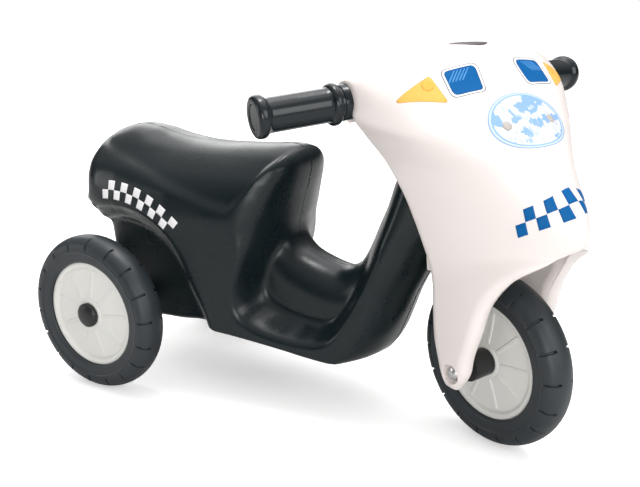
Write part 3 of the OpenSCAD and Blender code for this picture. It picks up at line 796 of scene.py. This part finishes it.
HUBCAP = [[0, 17.7], [6.02, 17.7], [6.02, 13.4], [12.2, 13.4], [12.7, 13.9]]
HUBCAP += [[12.7 * math.cos(a), 16.4 + 4.6 * math.sin(a)] for a in np.radians(np.arange(0, 90, 6))]
HUBCAP += [[0, 21.0]]
GRIP_PROFILE = [[10.02, 99], [14.98, 99], [14.98, 117.3], [14.6, 117.9], [14, 118.2],
                [14, 119.8], [14.9, 120.4]]
GRIP_PROFILE += [[14.9 + 2.9 * math.sin(a), 124.5 - 4.1 * math.cos(a)]
                 for a in np.radians(np.arange(15, 166, 10))]
GRIP_PROFILE += [[14.9, 128.8], [14.55, 130.2], [14.4, 132], [14.4, 156], [14.4, 181],
                 [14.7, 182.6], [15.4, 183.8], [16.6, 185.1], [17.5, 186.3], [17.8, 187.6],
                 [17.8, 190.6], [17.5, 191.9], [16.8, 192.9], [15.6, 193.6], [14.2, 194],
                 [11, 193.85], [10.2, 193.1], [5, 193], [0, 193], [0, 189.2], [10.02, 189.2]]

for name in ("right", "left"):
    rides_on, matrix = WHEELS[f"rear_{name}"]
    turned(f"hub_cap_rear_{name}", HUBCAP, matrix, rides_on, HUB, f"hubcap_{name}")
for side, name in ((-1, "right"), (1, "left")):
    turned(f"grip_moulding_{name}", GRIP_PROFILE, TO_FORK @ on_bar(side), "fork", GRIP,
           f"grip_{name}")

# ---------------------------------------------------------------------------------------------
# Stickers: thin films laid on the mouldings

fairing_tree = BVHTree.FromObject(fairing, bpy.context.evaluated_depsgraph_get())
body_tree = BVHTree.FromObject(body, bpy.context.evaluated_depsgraph_get())

RAY_FROM = 45       # the height in millimetres from which a film's points drop
FILM_LIFT = 0.12
FILM_THICK = 0.14
FILM_WELD = 2e-6    # metres


def lay(point, direction, tree, matrix, lift):
    """Drops a point in millimetres onto a moulding, against direction, and lifts it off."""
    direction = Vector(direction(point) if callable(direction) else direction)
    start = matrix @ (Vector(point) + direction * RAY_FROM)
    ray = -(matrix.to_3x3() @ direction).normalized()
    hit, normal, _, _ = tree.ray_cast(start, ray)
    if hit is None:
        return None
    if normal.dot(ray) > 0:
        normal = -normal
    return hit + normal * lift * MM


def sticker(name, patches, direction, tree, matrix, rides_on):
    """A film made of patches, each a grid of points with its material and its extra lift."""
    bm = bmesh.new()
    materials = []
    for grid, mat, extra in patches:
        if mat not in materials:
            materials.append(mat)
        rows, cols = grid.shape[:2]
        verts = []
        for p in grid.reshape(-1, 3):
            laid = lay(p, direction, tree, matrix, FILM_LIFT + extra)
            verts.append(None if laid is None else bm.verts.new(laid))
        for face in grid_faces(rows, cols):
            corners = [verts[k] for k in face]
            if None not in corners:
                made = bm.faces.new(corners)
                made.material_index = materials.index(mat)
                made.smooth = True
    bmesh.ops.remove_doubles(bm, verts=bm.verts, dist=FILM_WELD)
    mesh = bpy.data.meshes.new(name)
    bm.to_mesh(mesh)
    bm.free()
    for mat in materials:
        mesh.materials.append(mat)
    obj = linked(name, mesh)
    solid = obj.modifiers.new("film", "SOLIDIFY")
    solid.thickness = FILM_THICK * MM
    solid.offset = 0
    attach(obj, rides_on)


def rounded(corners, radius, steps=6, per_side=8):
    """Outline of a polygon in space with rounded corners, with points along its sides."""
    c = [np.asarray(p, float) for p in corners]
    arcs = []
    for before, corner, after in zip([c[-1]] + c[:-1], c, c[1:] + [c[0]]):
        sides = np.linalg.norm(before - corner), np.linalg.norm(after - corner)
        to_before, to_after = unit(before - corner), unit(after - corner)
        half = math.acos(np.clip(to_before @ to_after, -1, 1)) / 2
        reach = min(radius / math.tan(half), 0.45 * min(sides))
        start, end = corner + to_before * reach, corner + to_after * reach
        t = np.linspace(0, 1, steps + 1)[:, None]
        arcs.append((1 - t) ** 2 * start + 2 * t * (1 - t) * corner + t * t * end)
    points = []
    for arc, following in zip(arcs, arcs[1:] + arcs[:1]):
        t = np.linspace(0, 1, per_side + 1)[1:-1, None]
        points += [arc, arc[-1] + (following[0] - arc[-1]) * t]
    return np.concatenate(points)


def bands(outline, insets, mats, rings_in=5, lift=0.0):
    """Concentric patches of an outline: each inset in millimetres starts the next material."""
    centre = outline.mean(0)
    size = np.linalg.norm(outline - centre, axis=1).min()
    closed = np.concatenate([outline, outline[:1]])
    starts = [1 - inset / size for inset in insets]
    spans = [np.array(pair) for pair in zip(starts, starts[1:])]
    spans.append(starts[-1] * (1 - np.linspace(0, 1, rings_in + 1)))
    return [(np.stack([centre + (closed - centre) * k for k in span]), mat, lift)
            for span, mat in zip(spans, mats)]


def between(corners, across_part, down_part):
    """A point of a four-cornered film: parts of the way from its inner edge and from its top."""
    top = corners[0] + (corners[3] - corners[0]) * across_part
    bottom = corners[1] + (corners[2] - corners[1]) * across_part
    return top + (bottom - top) * down_part


def fork_film(name, patches, direction):
    sticker(name, patches, direction, fairing_tree, TO_FORK, "fork")


BLUE_CORNERS = np.array([[385.4, 19.5, 347.4], [404.6, 25.0, 327.6], [400.0, 59.5, 323.6],
                         [381.4, 57.0, 343.4]])
ORANGE_CORNERS = np.array([[380.6, 66.8, 340.6], [401.2, 64.0, 321.6], [376.2, 101.0, 323.0]])
ORANGE_MIDDLE = np.array([0.6, 0.22, 0.18])      # the spot's place, as parts of the corners
ORANGE_SPOT_R = 5.2
LAMP_SIDE = np.array([0.58, 0.42, 0.7])


def full_turn(count):
    """Cosines and sines of evenly spread angles, as columns."""
    a = np.linspace(0, 2 * math.pi, count, endpoint=False)
    return np.cos(a)[:, None], np.sin(a)[:, None]


for side, name in ((-1, "right"), (1, "left")):
    out = unit(LAMP_SIDE * (1, side, 1))
    corners = BLUE_CORNERS * (1, side, 1)
    patches = bands(rounded(corners, 6), (0, 0.45, 1.9, 2.3),
                    (FILM_BLUE_DARK, FILM_WHITE, FILM_BLUE_DARK, FILM_BLUE))
    # slanted streaks of shine printed in the blue
    for k in range(5):
        near = 0.93 - 0.095 * k
        bar = [between(corners, near - 0.27, 0.13), between(corners, near, 0.47),
               between(corners, near - 0.03, 0.50), between(corners, near - 0.3, 0.13)]
        patches += bands(rounded(bar, 0.2, 3, 3), (0,), (FILM_BLUE_LIGHT,), 2, lift=0.1)
    fork_film(f"blue_lamp_film_{name}", patches, out)
    corners = ORANGE_CORNERS * (1, side, 1)
    patches = bands(rounded(corners, 2.4), (0, 0.4), (FILM_ORANGE_DARK, FILM_ORANGE))
    one, two = unit(corners[1] - corners[0]), unit(corners[2] - corners[0])
    two = unit(two - one * (two @ one))
    cosines, sines = full_turn(32)
    spot = ORANGE_MIDDLE @ corners + ORANGE_SPOT_R * (cosines * one + sines * two)
    patches += bands(spot, (0,), (FILM_ORANGE_DEEP,), 3, lift=0.09)
    fork_film(f"orange_lamp_film_{name}", patches, out)

# headlamp: an ellipse with a double rim, a printed ribbed glass and two small grey dots
SLOPE = np.array([0.66, 0.0, -0.75])
LAMP = np.array([427.5, 0.0, 303.0])
LAMP_OUT = unit(np.array([0.62, 0.0, 0.78]))


def ellipse(centre_y, down, half_y, half_down, count):
    cosines, sines = full_turn(count)
    return LAMP + (centre_y + half_y * cosines) * (0, 1, 0) + (down + half_down * sines) * SLOPE


patches = bands(ellipse(0, 0, 42, 27.5, 96), (0, 0.7, 1.9, 3.0),
                (FILM_LENS_RIM, FILM_LENS_EDGE, FILM_LENS_RIM, FILM_LENS), 12)
for y in (-25.8, 25.8):
    patches += bands(ellipse(y, 1, 4.2, 4.2, 20), (0,), (FILM_GREY,), 2, lift=0.18)
fork_film("headlamp_film", patches, LAMP_OUT)


def block(point, a0, a1, b0, b1, cuts=6):
    """Grid of points over one block of a chequer, in the band's own two directions."""
    return np.array([[point(a0 + (a1 - a0) * i / cuts, b0 + (b1 - b0) * j / cuts)
                      for j in range(cuts + 1)] for i in range(cuts + 1)])


def chequer(point, start, end, columns, height, mat):
    """Two rows of alternate blocks along a band, from start to end."""
    step = (end - start) / columns
    return [(block(point, start + i * step, start + (i + 1) * step,
                   (row - 1) * height, row * height), mat, 0)
            for i in range(columns) for row in range(2) if (i + row) % 2 == 0]


# nose: blue blocks that follow the curve of the nose, which falls away to both sides
NOSE_HEART = np.array([432.0, 0.0])
NOSE_R = 60
NOSE_Z = 246.0
NOSE_HALF_TURN = math.radians(63)
NOSE_LEAN = 0.006       # radians a millimetre up
NOSE_FALL = 19 / 54.5   # millimetres a degree, far from the middle
NOSE_CREST = 8          # degrees over which the fall sets in


def nose_point(a, b):
    angle = a - NOSE_LEAN * b
    fall = NOSE_FALL * (math.hypot(math.degrees(a), NOSE_CREST) - NOSE_CREST)
    return np.array([NOSE_HEART[0] + NOSE_R * math.cos(angle), NOSE_R * math.sin(angle),
                     NOSE_Z - fall + b])


def from_heart(p):
    return unit(np.array([p[0] - NOSE_HEART[0], p[1] - NOSE_HEART[1], 0.0]))


nose_blocks = chequer(nose_point, -NOSE_HALF_TURN, NOSE_HALF_TURN, 12, 10.0, FILM_BLUE)
fork_film("nose_chequer", nose_blocks, from_heart)

# tail: white blocks in two rows round the wheel arch
TAIL_BAND_R = 125.0
TAIL_BAND = math.radians(97.5), math.radians(49.5)
TAIL_Y = 70.0

for side, name in ((-1, "right"), (1, "left")):
    def tail_point(a, b, y=side * TAIL_Y):
        r = TAIL_BAND_R + b
        return np.array([ARCH[0] + r * math.cos(a), y, ARCH[1] + r * math.sin(a)])

    sticker(f"tail_chequer_{name}", chequer(tail_point, *TAIL_BAND, 12, 9.4, FILM_WHITE),
            (0.0, side, 0.0), body_tree, TO_FRAME, "frame")

# ---------------------------------------------------------------------------------------------
# Frame parts that keep their shape

CARRIED = {
    "steering_pin": STEEL, "steering_washer": STEEL, "handlebar_tube_right": STEEL,
    "handlebar_tube_left": STEEL, "rear_axle": STEEL, "front_bolt": STEEL, "front_nut": STEEL,
    "steering_bush_upper": HUB, "steering_bush_lower": HUB, "rear_bush_right": HUB,
    "rear_bush_left": HUB, "rear_spacer_right": HUB, "rear_spacer_left": HUB,
    "front_spacer_right": HUB, "front_spacer_left": HUB, "steering_cap": CAP}
for name, mat in CARRIED.items():
    obj = frame["nodes"][name]
    if not obj.material_slots:
        obj.data.materials.append(mat)
    for slot in obj.material_slots:
        slot.material = mat

# ---------------------------------------------------------------------------------------------
# Stage, light and camera


FLOOR_HALF = 14.0
FLOOR_GLOW = 0.43
FLOOR_UNSEEN = 0.66
WORLD_LOW = 0.07
WORLD_HIGH = 0.8


def floor_material():
    """White to the eye alone, so that it doesn't light the vehicle much from below."""
    mat, shader, coords = new_material("pale_floor")
    seen = add_node(mat.node_tree, "LightPath").outputs["Is Camera Ray"]
    tone = blend(noise(coords, scale=30.0, detail=4.0), (0.93, 0.93, 0.93), (0.95, 0.95, 0.95))
    glow = add_node(mat.node_tree, "Math", seen, FLOOR_GLOW, setup=[("operation", "MULTIPLY")])
    plug(shader, Base_Color=blend(seen, (FLOOR_UNSEEN, FLOOR_UNSEEN, FLOOR_UNSEEN), tone),
         Roughness=0.9, Specular_IOR_Level=0.1, Emission_Strength=glow.outputs["Value"],
         Emission_Color=(1, 1, 1, 1))
    return mat


def studio_world():
    """White to the eye; as a light it is bright overhead and dim near the horizon."""
    world = bpy.data.worlds.new("studio")
    bpy.context.scene.world = world
    world.use_nodes = True
    tree = world.node_tree
    around = add_node(tree, "TexCoord").outputs["Generated"]
    height = add_node(tree, "SeparateXYZ", Vector=around).outputs["Z"]
    rise = add_node(tree, "MapRange", setup=[("interpolation_type", "SMOOTHSTEP")], Value=height,
                    From_Min=0.12, From_Max=0.95, To_Min=WORLD_LOW, To_Max=WORLD_HIGH)
    lit = plug(tree.nodes["Background"], Color=(1, 0.965, 0.955, 1),
               Strength=rise.outputs["Result"])
    seen = add_node(tree, "Background", Color=(1, 1, 1, 1))
    path = add_node(tree, "LightPath")
    mix = add_node(tree, "MixShader", path.outputs["Is Camera Ray"],
                   lit.outputs["Background"], seen.outputs["Background"])
    plug(tree.nodes["World Output"], Surface=mix.outputs["Shader"])


floor_mesh = bpy.data.meshes.new("floor")
floor_mesh.from_pydata([(x * FLOOR_HALF, y * FLOOR_HALF, 0)
                        for x, y in ((-1, -1), (1, -1), (1, 1), (-1, 1))], [], [(0, 1, 2, 3)])
floor_mesh.materials.append(floor_material())
linked("floor", floor_mesh)
studio_world()


def pointed(name, data, direction):
    """A new lamp that shines in the direction."""
    obj = linked(name, data)
    obj.rotation_euler = Vector(direction).to_track_quat("-Z", "Y").to_euler()
    return obj


def soft_sun(name, direction, strength, spread_degrees):
    data = bpy.data.lights.new(name, "SUN")
    data.energy = strength
    data.angle = math.radians(spread_degrees)
    pointed(name, data, direction)


LIT_CENTRE = Vector((0.02, 0.0, 0.15))


def softbox(name, place, size, power):
    data = bpy.data.lights.new(name, "AREA")
    data.shape = "RECTANGLE"
    data.size, data.size_y = size
    data.energy = power
    pointed(name, data, LIT_CENTRE - Vector(place)).location = place


soft_sun("ceiling_light", (-0.05, -0.25, -1.0), 1.0, 60)
softbox("top_box", (-0.25, 0.5, 1.2), (1.3, 0.8), 4)
softbox("overhead_box", (-0.03, 0.04, 1.4), (0.3, 0.3), 5.5)
softbox("back_box", (-1.3, 1.3, 0.95), (1.6, 1.0), 14)
softbox("front_box", (1.7, -0.45, 0.9), (1.0, 1.0), 13)
softbox("right_box", (1.2, -1.9, 0.55), (1.1, 0.8), 18)
softbox("tail_box", (-1.7, -1.1, 0.5), (0.7, 0.5), 3.5)

CAMERA_PLACE = (0.4477, -0.7306, 0.4041)
CAMERA_LOOK = (-0.5047, 0.8164, -0.2808)
CAMERA_ROLL = math.radians(-0.18)
FRAME_WIDTH = 640

camera_data = bpy.data.cameras.new("camera")
camera_data.sensor_width = 36.0
camera_data.lens = 48.75
camera_data.shift_x = -0.4 / FRAME_WIDTH
camera_data.shift_y = 1.12 / FRAME_WIDTH
camera_data.dof.use_dof = False
camera_data.clip_start, camera_data.clip_end = 0.01, 60
camera = linked("camera", camera_data)
camera.location = CAMERA_PLACE
forward = Vector(CAMERA_LOOK).normalized()
level = forward.cross(Vector((0, 0, 1))).normalized()
axes = Matrix((level, level.cross(forward), -forward)).transposed()
camera.rotation_euler = (axes @ Matrix.Rotation(CAMERA_ROLL, 3, "Z")).to_euler()
bpy.context.scene.camera = camera
bpy.context.scene.view_settings.view_transform = "Standard"
bpy.context.scene.view_settings.look = "None"
